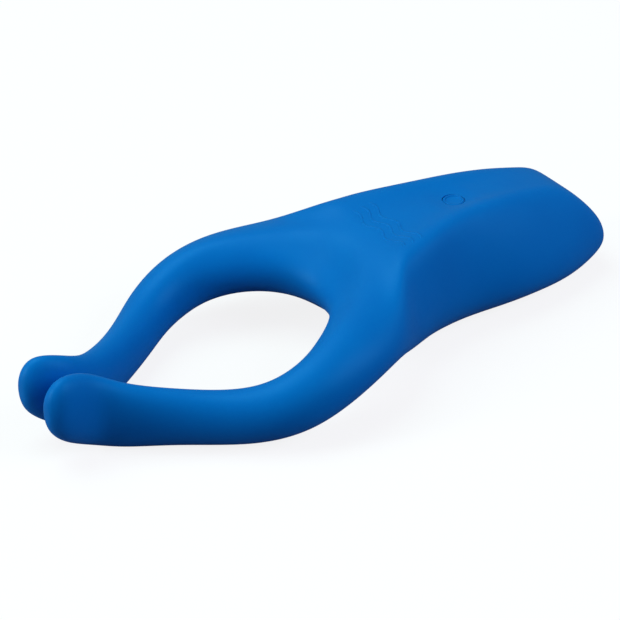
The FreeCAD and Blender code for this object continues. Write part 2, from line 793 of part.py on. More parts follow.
def make_pod(name, side):
    """Vibrator pod of one arm: two-piece capsule with a coin motor, standing on edge."""
    outward = Vector(0, side, 0)
    turn = Rotation(UP, outward)

    def stand(item, lift):
        """Put an item's base plane at this distance outward from the pod's inner face."""
        across = f"{side} * (pod_across - pod_thickness / 2 + {lift})"
        place(item, "pod_along", across, "pod_height", turn)

    pod = disc(f"{name}_tip_pod", "pod_radius", "pod_thickness - pod_wall")
    bore(pod, "pod_radius - pod_wall", "pod_thickness - 2 * pod_wall")
    stand(pod, "pod_wall")
    cover = disc(f"{name}_tip_cover", "pod_radius", "pod_wall - contact_gap")
    stand(cover, "0")

    case_lift = "(pod_thickness - coin_thickness) / 2"
    case = disc(f"{name}_coin_case", "coin_radius", "coin_thickness - coin_wall")
    bore(case, "coin_radius - coin_wall", "coin_thickness - 2 * coin_wall")
    stand(case, f"{case_lift} + coin_wall")
    lid = disc(f"{name}_coin_lid", "coin_radius", "coin_wall - contact_gap")
    stand(lid, case_lift)

    shaft_spot = ("pod_along", f"{side} * (pod_across - coin_thickness / 2 + coin_wall)", "pod_height")
    shaft_length = "coin_thickness - 2 * coin_wall"
    cylinder(f"{name}_coin_shaft", "coin_shaft_radius", shaft_length, shaft_spot, outward)
    rotor_spot = ("pod_along", f"{side} * (pod_across - rotor_thickness / 2)", "pod_height")
    size = ("rotor_radius", "rotor_thickness", "rotor_hub_radius", "coin_shaft_radius")
    half_weight(f"{name}_coin_weight", *size, rotor_spot, outward)


# ---- the whole model -------------------------------------------------------------------

HANDLE_NODES = [
    "handle_skin",
    "upper_case",
    "lower_case",
    "case_screws",
    "circuit_board",
    "board_screws",
    "switch_body",
    "status_lamp",
    "battery",
    "battery_cushion",
    "charging_pins",
    "charging_magnets",
    "motor_case",
    "motor_cradle",
    "motor_strap",
    "motor_shaft",
    "motor_weight",
    "power_button",
    "button_plunger",
    "switch_stem",
]
ARM_NODES = [
    "arm_skin",
    "arm_core",
    "arm_cable",
    "tip_pod",
    "tip_cover",
    "coin_case",
    "coin_lid",
    "coin_shaft",
    "coin_weight",
]


def check_document():
    for item in doc.Objects:
        if "Invalid" in item.State or "Error" in item.State:
            raise RuntimeError(f"{item.Label}: {item.State}")


def write_nodes(labels):
    os.makedirs("parts", exist_ok=True)
    shapes = {}
    for label in labels:
        shape = doc.getObjectsByLabel(label)[0].Shape
        if shape.isNull() or not shape.isValid() or not shape.Solids:
            raise RuntimeError(f"{label}: no valid solid")
        shapes[label] = shape
    for label, shape in shapes.items():
        shape.exportStep(f"parts/{label}.step")


fill_sheet()
make_skins()
make_cords()
make_case()
make_screws("case_screws", CASE_SCREW_PLACES, "screw", "screw_head_base")
make_screws("board_screws", BOARD_SCREW_PLACES, "board_screw", "board_base - board_screw_head_thickness")
make_button()
make_board()
make_battery()
make_contacts()
make_handle_motor()
make_motor_mount()
for name, side in SIDES:
    make_pod(name, side)
doc.recompute()
check_document()
write_nodes(HANDLE_NODES + [f"{name}_{node}" for name, _ in SIDES for node in ARM_NODES])
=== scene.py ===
"""Two-armed silicone massager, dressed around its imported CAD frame.

-X points to the arm tips, +X to the end of the handle, +Y to the left arm and +Z up.
Shapes are worked out in millimetres and become metres as they are put into meshes.
"""

import math

import bmesh
import bpy
import numpy as np
from mathutils import Matrix, Vector
from mathutils.bvhtree import BVHTree
from mathutils.kdtree import KDTree


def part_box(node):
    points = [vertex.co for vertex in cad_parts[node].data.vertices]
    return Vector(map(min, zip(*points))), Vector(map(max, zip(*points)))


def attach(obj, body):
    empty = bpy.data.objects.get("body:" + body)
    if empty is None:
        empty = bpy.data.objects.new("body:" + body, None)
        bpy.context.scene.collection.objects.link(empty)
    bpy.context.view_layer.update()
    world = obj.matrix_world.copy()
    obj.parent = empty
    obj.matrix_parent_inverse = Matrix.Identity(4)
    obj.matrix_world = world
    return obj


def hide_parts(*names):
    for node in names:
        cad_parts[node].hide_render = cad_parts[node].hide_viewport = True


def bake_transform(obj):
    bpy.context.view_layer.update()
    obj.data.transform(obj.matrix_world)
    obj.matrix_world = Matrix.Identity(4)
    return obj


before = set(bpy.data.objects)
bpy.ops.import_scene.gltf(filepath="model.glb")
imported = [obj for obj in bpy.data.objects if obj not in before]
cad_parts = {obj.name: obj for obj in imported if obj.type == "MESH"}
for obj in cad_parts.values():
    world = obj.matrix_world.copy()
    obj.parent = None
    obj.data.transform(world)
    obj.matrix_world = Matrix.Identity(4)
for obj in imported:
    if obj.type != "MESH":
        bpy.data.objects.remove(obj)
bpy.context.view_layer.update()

MM = 0.001
SIDES = (("left", 1), ("right", -1))
UP = Vector((0, 0, 1))
FORWARD = Vector((1, 0, 0))

# Control rings along the handle: place along it, half width low down, half width between the
# two soft creases of the top face, height of the creases, height of the underside, how far
# the side stands beyond the top, and how far the top face dips between its creases.
HANDLE_RINGS = {
    "chest": (11.0, 25.8, 18.6, 31.5, 0.2, 0.0, 2.2),
    "neck": (23.0, 20.9, 15.5, 32.8, -0.3, 0.0, 2.33),
    "waist": (35.0, 19.5, 11.4, 33.1, -0.3, 0.0, 2.35),
    "grip": (47.0, 21.3, 9.9, 32.0, -0.3, 0.0, 2.2),
    "haunch": (58.0, 20.8, 9.5, 29.4, -0.3, 0.0, 0.6),
    "rump": (67.0, 19.5, 8.2, 26.9, -0.3, 0.0, -0.1),
    "tail": (73.6, 15.6, 8.4, 24.6, -0.3, 4.4, -0.2),
    "end": (83.1, 12.2, 11.1, 14.1, 4.0, 1.2, -0.2),
    "cap": (83.6, 5.0, 4.0, 10.0, 6.0, 0.0, 0.0),
}

# Control rings along the left arm: middle (along, across, height), half width, half height,
# and how far the top leans in towards the other arm.
ARM_RINGS = {
    "shoulder": (-0.2, 21.6, 16.9, 11.3, 8.4, 1.5),
    "upper": (-14.5, 29.1, 15.4, 9.0, 8.6, 2.0),
    "elbow": (-25.4, 30.4, 11.7, 7.7, 8.8, 1.0),
    "bow": (-34.7, 27.3, 8.7, 6.5, 7.7, 0.0),
    "middle": (-42.8, 21.5, 7.3, 5.75, 7.3, 0.0),
    "lower": (-53.6, 13.8, 7.8, 5.1, 7.8, 0.0),
    "wrist": (-64.1, 7.7, 8.8, 4.7, 9.2, 0.0),
    "pad": (-70.4, 3.8, 11.5, 4.5, 11.0, 0.0),
    "ball": (-79.6, 5.9, 15.8, 4.4, 9.8, 0.0),
    "brow": (-83.3, 5.9, 15.9, 2.5, 5.2, 0.0),
    "point": (-83.6, 5.9, 15.9, 0.8, 1.6, 0.0),
}
BLUNT_RINGS = ("ball", "brow", "point")
SADDLE_MIDDLE = Vector((15.5, 0.0, 14.2))
SADDLE_HALF_WIDTH = 17.0
SADDLE_HALF_HEIGHT = 9.0
SADDLE_LEAN = 0.25
RING_POINTS = 12
TOP_POINT = 6

SKIN_LEVEL = 4

# Line across each arm's root where the handle's skin ends.
BEND_START = Vector((2.0, 20.0, 15.0))
BEND_END = Vector((-20.0, 30.0, 15.0))

BUTTON_WELL_RADIUS = 7.5
BUTTON_RIM_HEIGHT = 0.35
BUTTON_RIM_WIDTH = 0.55
BUTTON_EDGE = 0.18
HOLE_GAP = 0.08
HOLE_DEPTH = 2.4
PIN_HOLE_GAP = 0.05
PIN_HOLE_DEPTH = 1.2


# ---- meshes ------------------------------------------------------------------------------


def add_object(name, mesh):
    obj = bpy.data.objects.new(name, mesh)
    bpy.context.scene.collection.objects.link(obj)
    return obj


def mesh_object(name, points, faces):
    mesh = bpy.data.meshes.new(name)
    mesh.from_pydata([Vector(point) * MM for point in points], [], faces)
    mesh.update()
    return add_object(name, mesh)


def drop(obj):
    mesh = obj.data
    bpy.data.objects.remove(obj)
    bpy.data.meshes.remove(mesh)


def evaluated_mesh(obj):
    bpy.context.view_layer.update()
    graph = bpy.context.evaluated_depsgraph_get()
    return bpy.data.meshes.new_from_object(obj.evaluated_get(graph))


def coordinates(mesh):
    flat = np.zeros(3 * len(mesh.vertices))
    mesh.vertices.foreach_get("co", flat)
    return flat.reshape(-1, 3)


def set_coordinates(mesh, places):
    mesh.vertices.foreach_set("co", np.asarray(places, float).ravel())
    mesh.update()


def make_smooth(obj):
    obj.data.polygons.foreach_set("use_smooth", [True] * len(obj.data.polygons))
    obj.data.update()


# ---- skin --------------------------------------------------------------------------------


def handle_ring(station):
    """Control points round the handle, from the underside up the left side and down the right."""
    along, low, crest, crest_height, underside, slant, dip = station
    height = crest_height - underside
    top = height - dip
    left = [
        (0.3, 0.0, 0.0),
        (0.4, 0.55 * low, 0.0),
        (0.8, low, 0.22 * height),
        (1.0, 0.62 * low + 0.38 * crest + 0.6, 0.62 * height),
        (0.0, crest, height),
        (0.0, 0.5 * crest, top),
        (0.0, 0.0, top),
    ]
    ring = left + [(share, -y, z) for share, y, z in reversed(left[1:-1])]
    return [Vector((along + share * slant, y, underside + z)) for share, y, z in ring]


def ellipse_ring(middle, outward, half_width, half_height, lean=0.0):
    """Control points round an upright ellipse, from its lowest point outward and up."""
    ring = []
    for step in range(RING_POINTS):
        turn = 2 * math.pi * step / RING_POINTS - math.pi / 2
        inward = 0.0 if step > TOP_POINT else lean * max(0, math.sin(turn))
        across = outward * (half_width * math.cos(turn) - inward)
        ring.append(middle + across + UP * (half_height * math.sin(turn)))
    return ring


def left_arm_rings():
    names = list(ARM_RINGS)
    middles = [Vector(ARM_RINGS[name][:3]) for name in names]
    chest = HANDLE_RINGS["chest"]
    start = Vector((chest[0], chest[2], 0))
    rings = []
    for name, back, middle, ahead in zip(names, [start] + middles, middles, middles[1:] + [None]):
        heading = -FORWARD if name in BLUNT_RINGS else ahead - back
        outward = Vector((-heading.y, heading.x, 0)).normalized()
        if outward.y < 0:
            outward = -outward
        rings.append(ellipse_ring(middle, outward, *ARM_RINGS[name][3:]))
    return rings


def saddle_column():
    """Control points down the crotch between the arms, in the centre plane."""
    ring = ellipse_ring(SADDLE_MIDDLE, FORWARD, SADDLE_HALF_WIDTH, SADDLE_HALF_HEIGHT)
    column = ring[TOP_POINT + 1 :]
    return [point + FORWARD * (SADDLE_LEAN * (SADDLE_MIDDLE.z - point.z)) for point in column]


def skin_cage():
    """The whole wishbone as one closed cage of quads, in millimetres."""
    points = []
    faces = []

    def add(ring):
        points.extend(ring)
        return list(range(len(points) - len(ring), len(points)))

    def join(one, other):
        for step in range(RING_POINTS):
            after = (step + 1) % RING_POINTS
            faces.append((one[step], one[after], other[after], other[step]))

    def close(ring):
        middle = sum((points[index] for index in ring), Vector()) / len(ring)
        centre = add([middle])[0]
        for step in range(RING_POINTS):
            faces.append((ring[step], ring[(step + 1) % RING_POINTS], centre))

    stations = list(HANDLE_RINGS.values())
    between = [(one + other) / 2 for one, other in zip(*stations[:2])]
    chest = add(handle_ring(stations[0]))
    saddle = add(saddle_column())
    roots = {1: chest[: TOP_POINT + 1], -1: chest[:1] + chest[: TOP_POINT - 1 : -1]}
    for _, side in SIDES:
        previous = roots[side] + saddle
        for ring in left_arm_rings():
            current = add([Vector((point.x, side * point.y, point.z)) for point in ring])
            join(previous, current)
            previous = current
        close(previous)
    previous = chest
    for station in [between] + stations[1:]:
        current = add(handle_ring(station))
        join(previous, current)
        previous = current
    close(previous)
    return points, faces


def button_place():
    """Middle of the button, and the height of its face, from its CAD node."""
    low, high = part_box("power_button")
    return (low + high) / 2, high.z - BUTTON_RIM_HEIGHT * MM


def shape_skin(mesh):
    """Flattens the underside where it rests, and presses the finger well in round the button."""
    places = coordinates(mesh)
    places[:, 2] = np.maximum(places[:, 2], 0.0)
    middle, floor = button_place()
    reach = np.hypot(places[:, 0] - middle.x, places[:, 1] - middle.y) / (BUTTON_WELL_RADIUS * MM)
    on_top = places[:, 2] > middle.z / 2
    nearest = np.argmin(np.where(on_top, reach, np.inf))
    depth = places[nearest, 2] - floor
    dip = 0.5 + 0.5 * np.cos(math.pi * np.clip(reach, 0, 1))
    places[on_top, 2] -= depth * dip[on_top]
    set_coordinates(mesh, places)


def split_skin(mesh):
    """Cuts the skin across each arm's root and returns the meshes of its three pieces."""
    whole = bmesh.new()
    whole.from_mesh(mesh)
    heading = BEND_END - BEND_START
    planes = {}
    for _, side in SIDES:
        flip = Vector((1, side, 1))
        planes[side] = (BEND_START * flip * MM, (heading * flip).normalized())
        own = [face for face in whole.faces if side * face.calc_center_median().y > 0]
        edges = {edge for face in own for edge in face.edges}
        corners = {corner for face in own for corner in face.verts}
        geometry = list(corners) + list(edges) + own
        start, away = planes[side]
        bmesh.ops.bisect_plane(whole, geom=geometry, dist=1e-7, plane_co=start, plane_no=away)

    def owner(face):
        middle = face.calc_center_median()
        side = 1 if middle.y > 0 else -1
        start, away = planes[side]
        return side if (middle - start).dot(away) > 0 else 0

    owners = [owner(face) for face in whole.faces]
    pieces = {}
    for wanted in (0, 1, -1):
        piece = whole.copy()
        piece.faces.ensure_lookup_table()
        others = [piece.faces[index] for index, own in enumerate(owners) if own != wanted]
        bmesh.ops.delete(piece, geom=others, context="FACES")
        rims = [edge for edge in piece.edges if edge.is_boundary]
        bmesh.ops.holes_fill(piece, edges=rims, sides=0)
        bmesh.ops.recalc_face_normals(piece, faces=piece.faces)
        made = bpy.data.meshes.new("skin")
        piece.to_mesh(made)
        piece.free()
        pieces[wanted] = made
    whole.free()
    return pieces


def cylinder_points(middle, radius, base, top, points, faces, segments=96):
    """Adds a closed upright cylinder, in metres, for cutting a hole."""
    start = len(points)
    for height in (base, top):
        for step in range(segments):
            turn = 2 * math.pi * step / segments
            points.append((middle.x + radius * math.cos(turn), middle.y + radius * math.sin(turn), height))
    for step in range(segments):
        after = (step + 1) % segments
        faces.append((start + step, start + after, start + segments + after, start + segments + step))
    faces.append(tuple(start + step for step in reversed(range(segments))))
    faces.append(tuple(start + segments + step for step in range(segments)))


def pin_middles():
    """Middles and radius of the charging pins, from their CAD node."""
    low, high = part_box("charging_pins")
    radius = (high.x - low.x) / 2
    along = (low.x + high.x) / 2
    return [Vector((along, across, low.z)) for across in (low.y + radius, high.y - radius)], radius


def cut_holes(obj):
    """Opens the button's hole and the holes of the charging pins in the handle's skin."""
    points = []
    faces = []
    low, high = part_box("power_button")
    middle, floor = button_place()
    radius = (high.x - low.x) / 2 + HOLE_GAP * MM
    cylinder_points(middle, radius, floor - HOLE_DEPTH * MM, high.z + MM, points, faces)
    pins, pin_radius = pin_middles()
    for pin in pins:
        cylinder_points(pin, pin_radius + PIN_HOLE_GAP * MM, -MM, PIN_HOLE_DEPTH * MM, points, faces)
    mesh = bpy.data.meshes.new("holes")
    mesh.from_pydata(points, [], faces)
    cutter = add_object("holes", mesh)
    modifier = obj.modifiers.new("holes", "BOOLEAN")
    modifier.operation = "DIFFERENCE"
    modifier.solver = "EXACT"
    modifier.object = cutter
    cut = evaluated_mesh(obj)
    obj.modifiers.clear()
    old = obj.data
    obj.data = cut
    bpy.data.meshes.remove(old)
    drop(cutter)


def smooth_like(obj, tree, normals):
    """Shades the outer faces with the whole skin's normals, so that no seam or hole disturbs them."""
    make_smooth(obj)
    mesh = obj.data
    shading = {}
    for vertex in mesh.vertices:
        total = Vector()
        for _, index, distance in tree.find_n(vertex.co, 4):
            total += normals[index] / (distance + 1e-7)
        shading[vertex.index] = total.normalized()
    loops = [None] * len(mesh.loops)
    for polygon in mesh.polygons:
        outside = all(shading[index].dot(polygon.normal) > 0.8 for index in polygon.vertices)
        for loop in polygon.loop_indices:
            vertex = mesh.loops[loop].vertex_index
            loops[loop] = shading[vertex] if outside else polygon.normal
    mesh.normals_split_custom_set(loops)


def build_skins():
    points, faces = skin_cage()
    cage = mesh_object("cage", points, faces)
    shell = bmesh.new()
    shell.from_mesh(cage.data)
    bmesh.ops.recalc_face_normals(shell, faces=shell.faces)
    shell.to_mesh(cage.data)
    shell.free()
    limit = cage.modifiers.new("limit", "SUBSURF")
    limit.levels = SKIN_LEVEL
    whole = evaluated_mesh(cage)
    drop(cage)
    shape_skin(whole)
    tree = KDTree(len(whole.vertices))
    for vertex in whole.vertices:
        tree.insert(vertex.co, vertex.index)
    tree.balance()
    normals = [Vector(normal.vector) for normal in whole.vertex_normals]
    pieces = split_skin(whole)
    handle = add_object("handle_silicone", pieces[0])
    cut_holes(handle)
    smooth_like(handle, tree, normals)
    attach(handle, "handle")
    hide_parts("handle_skin")
    skins = [handle]
    for name, side in SIDES:
        arm = add_object(f"{name}_arm_silicone", pieces[side])
        smooth_like(arm, tree, normals)
        bend(arm)
        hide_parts(f"{name}_arm_skin")
        skins.append(arm)
    return skins, whole


def bend(obj):
    """Bakes the piece's placement into its mesh."""
    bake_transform(obj)


# ---- button, relief and cords ------------------------------------------------------------


def arc(across, height, radius, first, last, steps):
    """Points of an arc in a lathe profile, as (distance from the axis, height)."""
    turns = [math.radians(first + (last - first) * step / steps) for step in range(steps + 1)]
    return [(across + radius * math.cos(turn), height + radius * math.sin(turn)) for turn in turns]


def lathe(name, middle, profile, segments=128):
    """Turns a profile round the upright axis through a point, in metres. Its ends lie on the axis."""
    points = []
    faces = []
    for step in range(segments):
        turn = 2 * math.pi * step / segments
        for across, height in profile[1:-1]:
            points.append((middle.x + across * math.cos(turn), middle.y + across * math.sin(turn), height))
    ring = len(profile) - 2
    bottom = len(points)
    points.append((middle.x, middle.y, profile[0][1]))
    points.append((middle.x, middle.y, profile[-1][1]))
    for step in range(segments):
        here = step * ring
        there = (step + 1) % segments * ring
        for row in range(ring - 1):
            faces.append((here + row, there + row, there + row + 1, here + row + 1))
        faces.append((bottom, there, here))
        faces.append((here + ring - 1, there + ring - 1, bottom + 1))
    mesh = bpy.data.meshes.new(name)
    mesh.from_pydata(points, [], faces)
    obj = add_object(name, mesh)
    make_smooth(obj)
    return obj


def build_button():
    """Soft button with a rounded edge and a raised rim round its slightly hollow face."""
    low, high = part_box("power_button")
    middle, face = button_place()
    radius = (high.x - low.x) / 2
    edge = BUTTON_EDGE * MM
    half = BUTTON_RIM_WIDTH * MM / 2
    rim = radius - edge - half - 0.05 * MM
    hollow = 0.12 * MM
    profile = [(0.0, low.z), (radius, low.z)]
    profile += arc(radius - edge, face - edge, edge, 0, 90, 6)
    profile += arc(rim, face, half, 0, 180, 12)
    for step in range(1, 9):
        share = 1 - step / 9
        profile.append(((rim - half) * share, face - hollow * (1 - share**2)))
    profile.append((0.0, face - hollow))
    button = lathe("button_silicone", middle, profile)
    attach(button, "power_button")
    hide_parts("power_button")
    return button


RELIEF_ALONG = (15.4, 18.0, 20.6)
RELIEF_FROM = -13.5
RELIEF_TO = 9.0
RELIEF_WAVES = 2.5
RELIEF_SWING = 0.8
RELIEF_WIDTH = 0.8
RELIEF_HEIGHT = 0.12
RELIEF_SINK = 0.12
RELIEF_STEPS = 160


def relief_strand(surface, along, points, faces):
    """One raised wave line across the top face, closed along its underside."""
    profile = [
        (-0.5, -RELIEF_SINK),
        (-0.36, 0.55 * RELIEF_HEIGHT),
        (-0.16, 0.93 * RELIEF_HEIGHT),
        (0.0, RELIEF_HEIGHT),
        (0.16, 0.93 * RELIEF_HEIGHT),
        (0.36, 0.55 * RELIEF_HEIGHT),
        (0.5, -RELIEF_SINK),
    ]
    count = len(profile)
    first = len(points)
    for step in range(RELIEF_STEPS + 1):
        share = step / RELIEF_STEPS
        turn = 2 * math.pi * RELIEF_WAVES * share
        across = RELIEF_FROM + (RELIEF_TO - RELIEF_FROM) * share
        slope = RELIEF_SWING * math.cos(turn) * 2 * math.pi * RELIEF_WAVES / (RELIEF_TO - RELIEF_FROM)
        sideways = Vector((1, -slope, 0)).normalized()
        fade = min(1.0, math.sqrt(max(0.0, min(share, 1 - share)) * 30))
        for offset, lift in profile:
            flat = Vector((along + RELIEF_SWING * math.sin(turn), across, 60))
            flat += sideways * (offset * RELIEF_WIDTH * (0.35 + 0.65 * fade))
            place, normal, _, _ = surface.ray_cast(flat * MM, -UP)
            points.append(place + normal * (((lift + RELIEF_SINK) * fade - RELIEF_SINK) * MM))
    for step in range(RELIEF_STEPS):
        here = first + step * count
        there = here + count
        for row in range(count):
            after = (row + 1) % count
            faces.append((here + row, here + after, there + after, there + row))
    faces.append(tuple(first + row for row in range(count)))
    faces.append(tuple(first + RELIEF_STEPS * count + row for row in reversed(range(count))))


def build_relief(whole):
    """Plain wave lines raised on the top face."""
    skin = BVHTree.FromPolygons(
        [vertex.co.copy() for vertex in whole.vertices],
        [tuple(polygon.vertices) for polygon in whole.polygons],
    )
    points = []
    faces = []
    for along in RELIEF_ALONG:
        relief_strand(skin, along, points, faces)
    mesh = bpy.data.meshes.new("wave_relief")
    mesh.from_pydata(points, [], faces)
    relief = add_object("wave_relief", mesh)
    shell = bmesh.new()
    shell.from_mesh(mesh)
    bmesh.ops.recalc_face_normals(shell, faces=shell.faces)
    shell.to_mesh(mesh)
    shell.free()
    make_smooth(relief)
    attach(relief, "handle")
    return relief


def build_cords():
    """Copies of the cords' meshes, with their placement baked in."""
    cords = {}
    for name, side in SIDES:
        for kind in ("core", "cable"):
            node = f"{name}_arm_{kind}"
            cord = add_object(f"{name}_bending_{kind}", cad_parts[node].data.copy())
            bend(cord)
            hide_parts(node)
            cords[cord.name] = cord
    return cords


# ---- materials ---------------------------------------------------------------------------


class Finish:
    """A node material under construction: a principled surface with textures in object space."""

    def __init__(self, name):
        self.material = bpy.data.materials.new(name)
        self.material.use_nodes = True
        self.tree = self.material.node_tree
        self.surface = self.tree.nodes["Principled BSDF"]
        self.space = self.add("ShaderNodeTexCoord").outputs["Object"]

    def add(self, kind, inputs=None, **settings):
        node = self.tree.nodes.new(kind)
        for key, value in settings.items():
            setattr(node, key, value)
        for key, value in (inputs or {}).items():
            self.feed(node, key, value)
        return node

    def feed(self, node, key, value):
        if isinstance(value, bpy.types.NodeSocket):
            self.tree.links.new(value, node.inputs[key])
        else:
            node.inputs[key].default_value = value

    def set(self, **inputs):
        for key, value in inputs.items():
            self.feed(self.surface, key.replace("_", " "), value)

    def noise(self, size, detail=3.0, roughness=0.5, space=None):
        """Cloudy value from 0 to 1, whose patches are about size millimetres wide."""
        inputs = {"Vector": space or self.space, "Scale": 1 / (size * MM), "Detail": detail}
        inputs["Roughness"] = roughness
        return self.add("ShaderNodeTexNoise", inputs).outputs["Fac"]

    def cells(self, size, feature="F1", randomness=1.0):
        inputs = {"Vector": self.space, "Scale": 1 / (size * MM), "Randomness": randomness}
        return self.add("ShaderNodeTexVoronoi", inputs, feature=feature).outputs["Distance"]

    def waves(self, size, direction="X", distortion=0.0, profile="SIN"):
        inputs = {"Vector": self.space, "Scale": 1 / (size * MM), "Distortion": distortion}
        settings = {"bands_direction": direction, "wave_profile": profile}
        return self.add("ShaderNodeTexWave", inputs, **settings).outputs["Fac"]

    def stretched(self, amounts):
        node = self.add("ShaderNodeMapping", {"Vector": self.space, "Scale": amounts})
        return node.outputs["Vector"]

    def ramp(self, value, low, high, bottom=0.0, top=1.0):
        """Maps a value that runs from low to high onto the span from bottom to top."""
        inputs = {"Value": value, "From Min": low, "From Max": high, "To Min": bottom, "To Max": top}
        return self.add("ShaderNodeMapRange", inputs).outputs["Result"]

    def mix(self, share, one, other, blend_type="MIX"):
        node = self.add("ShaderNodeMix", data_type="RGBA", blend_type=blend_type)
        for socket, value in ((0, share), (6, one), (7, other)):
            if isinstance(value, bpy.types.NodeSocket):
                self.tree.links.new(value, node.inputs[socket])
            elif socket == 0:
                node.inputs[socket].default_value = value
            else:
                node.inputs[socket].default_value = (*value, 1.0)
        return node.outputs[2]

    def maths(self, operation, one, other):
        node = self.add("ShaderNodeMath", operation=operation)
        for socket, value in enumerate((one, other)):
            if isinstance(value, bpy.types.NodeSocket):
                self.tree.links.new(value, node.inputs[socket])
            else:
                node.inputs[socket].default_value = value
        return node.outputs[0]

    def bump(self, height, depth, under=None):
        """Relief of depth millimetres from a height value."""
        inputs = {"Height": height, "Distance": depth * MM, "Strength": 1.0}
        if under is not None:
            inputs["Normal"] = under
        return self.add("ShaderNodeBump", inputs).outputs["Normal"]

    def wear(self, low, high):
        """1 on outward edges and 0 elsewhere."""
        return self.ramp(self.add("ShaderNodeNewGeometry").outputs["Pointiness"], low, high)


def silicone():
    """Satin soft-touch silicone: cloudy colour, fine skin texture and a soft bloom at grazing angles."""
    finish = Finish("blue_silicone")
    cloud = finish.ramp(finish.noise(22, 2), 0.3, 0.7)
    colour = finish.mix(cloud, (0.0, 0.150, 0.52), (0.0, 0.165, 0.55))
    grain = finish.noise(0.35, 3, 0.6)
    smudge = finish.noise(9, 4, 0.6)
    roughness = finish.ramp(smudge, 0.3, 0.7, 0.42, 0.52)
    ripple = finish.bump(finish.noise(14, 2), 0.12)
    normal = finish.bump(grain, 0.012, ripple)
    finish.set(Base_Color=colour, Roughness=roughness, Normal=normal, IOR=1.41)
    finish.set(Specular_IOR_Level=0.35, Specular_Tint=(0.1, 0.6, 1.0, 1.0))
    finish.set(Sheen_Weight=0.06, Sheen_Roughness=0.4, Sheen_Tint=(0.5, 0.7, 1.0, 1.0))
    finish.set(Subsurface_Weight=0.05, Subsurface_Scale=MM, Subsurface_Radius=(0.2, 0.6, 1.0))
    return finish.material


def moulded(name, colour, roughness, grain=0.3, depth=0.02, flow=0.08):
    """Moulded plastic: spark-eroded grain, faint flow marks and rubbed edges."""
    finish = Finish(name)
    darker = tuple(0.8 * channel for channel in colour)
    lighter = tuple(min(1.0, 1.15 * channel + 0.02) for channel in colour)
    marks = finish.noise(5, 4, 0.6, finish.stretched((1.0, 3.0, 1.0)))
    tone = finish.mix(finish.ramp(marks, 0.3, 0.7), darker, colour)
    tone = finish.mix(finish.wear(0.52, 0.6), tone, lighter)
    rough = finish.ramp(finish.noise(1.5, 4), 0.3, 0.7, roughness - flow, roughness + flow)
    texture = finish.maths("ADD", finish.cells(grain), finish.noise(0.5 * grain, 4))
    finish.set(Base_Color=tone, Roughness=rough, Normal=finish.bump(texture, depth), IOR=1.5)
    return finish.material


def metal(name, colour, roughness, brushed=(1.0, 1.0, 12.0), depth=0.008, tarnish=0.75):
    """Metal: brushed lines, cloudy tarnish and bright edges."""
    finish = Finish(name)
    dull = tuple(tarnish * channel for channel in colour)
    bright = tuple(min(1.0, 1.2 * channel) for channel in colour)
    cloud = finish.ramp(finish.noise(2.5, 5, 0.65), 0.35, 0.65)
    tone = finish.mix(cloud, dull, colour)
    tone = finish.mix(finish.wear(0.51, 0.58), tone, bright)
    lines = finish.noise(1.0, 3, 0.6, finish.stretched(brushed))
    rough = finish.ramp(lines, 0.3, 0.7, 0.7 * roughness, 1.3 * roughness)
    finish.set(Base_Color=tone, Roughness=rough, Metallic=1.0, Normal=finish.bump(lines, depth))
    return finish.material


def laminate():
    """Green circuit board: glass weave under the solder mask, and copper runs that raise it."""
    finish = Finish("board_laminate")
    weave = finish.maths("MULTIPLY", finish.waves(2.2, "X"), finish.waves(2.2, "Y"))
    runs = finish.ramp(finish.waves(7.0, "Y", 3.0, "TRI"), 0.42, 0.5)
    tone = finish.mix(weave, (0.012, 0.10, 0.035), (0.02, 0.16, 0.06))
    tone = finish.mix(runs, tone, (0.04, 0.26, 0.09))
    height = finish.maths("ADD", finish.maths("MULTIPLY", weave, 0.3), runs)
    rough = finish.ramp(finish.noise(3), 0.3, 0.7, 0.25, 0.4)
    finish.set(Base_Color=tone, Roughness=rough, Normal=finish.bump(height, 0.03))
    return finish.material


def foil():
    """Crinkled aluminium pouch foil of the battery."""
    finish = Finish("cell_foil")
    crinkle = finish.maths("ADD", finish.cells(3.0, "DISTANCE_TO_EDGE"), finish.noise(1.2, 5))
    tone = finish.mix(finish.ramp(finish.noise(6, 4), 0.3, 0.7), (0.5, 0.52, 0.55), (0.68, 0.7, 0.73))
    rough = finish.ramp(finish.noise(0.8, 4), 0.3, 0.7, 0.25, 0.42)
    finish.set(Base_Color=tone, Roughness=rough, Metallic=1.0, Normal=finish.bump(crinkle, 0.12))
    return finish.material


def foam():
    """Open-cell foam, with painted shade darkening the pits of its cells."""
    finish = Finish("cushion_foam")
    cell = finish.ramp(finish.cells(0.45), 0.1, 0.6)
    # Painted shade: the colour darkens towards the bottom of each cell's pit.
    tone = finish.mix(cell, (0.02, 0.02, 0.022), (0.11, 0.11, 0.12))
    finish.set(Base_Color=tone, Roughness=0.95, Normal=finish.bump(cell, 0.2))
    return finish.material


def lens():
    """Milky lens of the status lamp, faintly ribbed."""
    finish = Finish("lamp_lens")
    ribs = finish.waves(1.0, "X")
    tone = finish.mix(finish.ramp(finish.noise(0.6), 0.3, 0.7), (0.8, 0.85, 0.9), (0.92, 0.95, 1.0))
    finish.set(Base_Color=tone, Roughness=finish.ramp(ribs, 0, 1, 0.08, 0.2), Transmission_Weight=0.4)
    finish.set(Normal=finish.bump(ribs, 0.02))
    return finish.material


def jacket(name, colour, twist, size, metallic=0.0):
    """Cord surface: slanting ribs from the strands that lie under it, with painted shade in the grooves
    between them.
    """
    finish = Finish(name)
    ribs = finish.waves(size, "DIAGONAL", twist)
    # Painted shade: the grooves between the ribs take a darker copy of the colour.
    darker = tuple(0.6 * channel for channel in colour)
    tone = finish.mix(ribs, darker, colour)
    rough = finish.ramp(finish.noise(1.0, 4), 0.3, 0.7, 0.35, 0.5)
    finish.set(Base_Color=tone, Roughness=rough, Metallic=metallic, Normal=finish.bump(ribs, 0.06))
    return finish.material


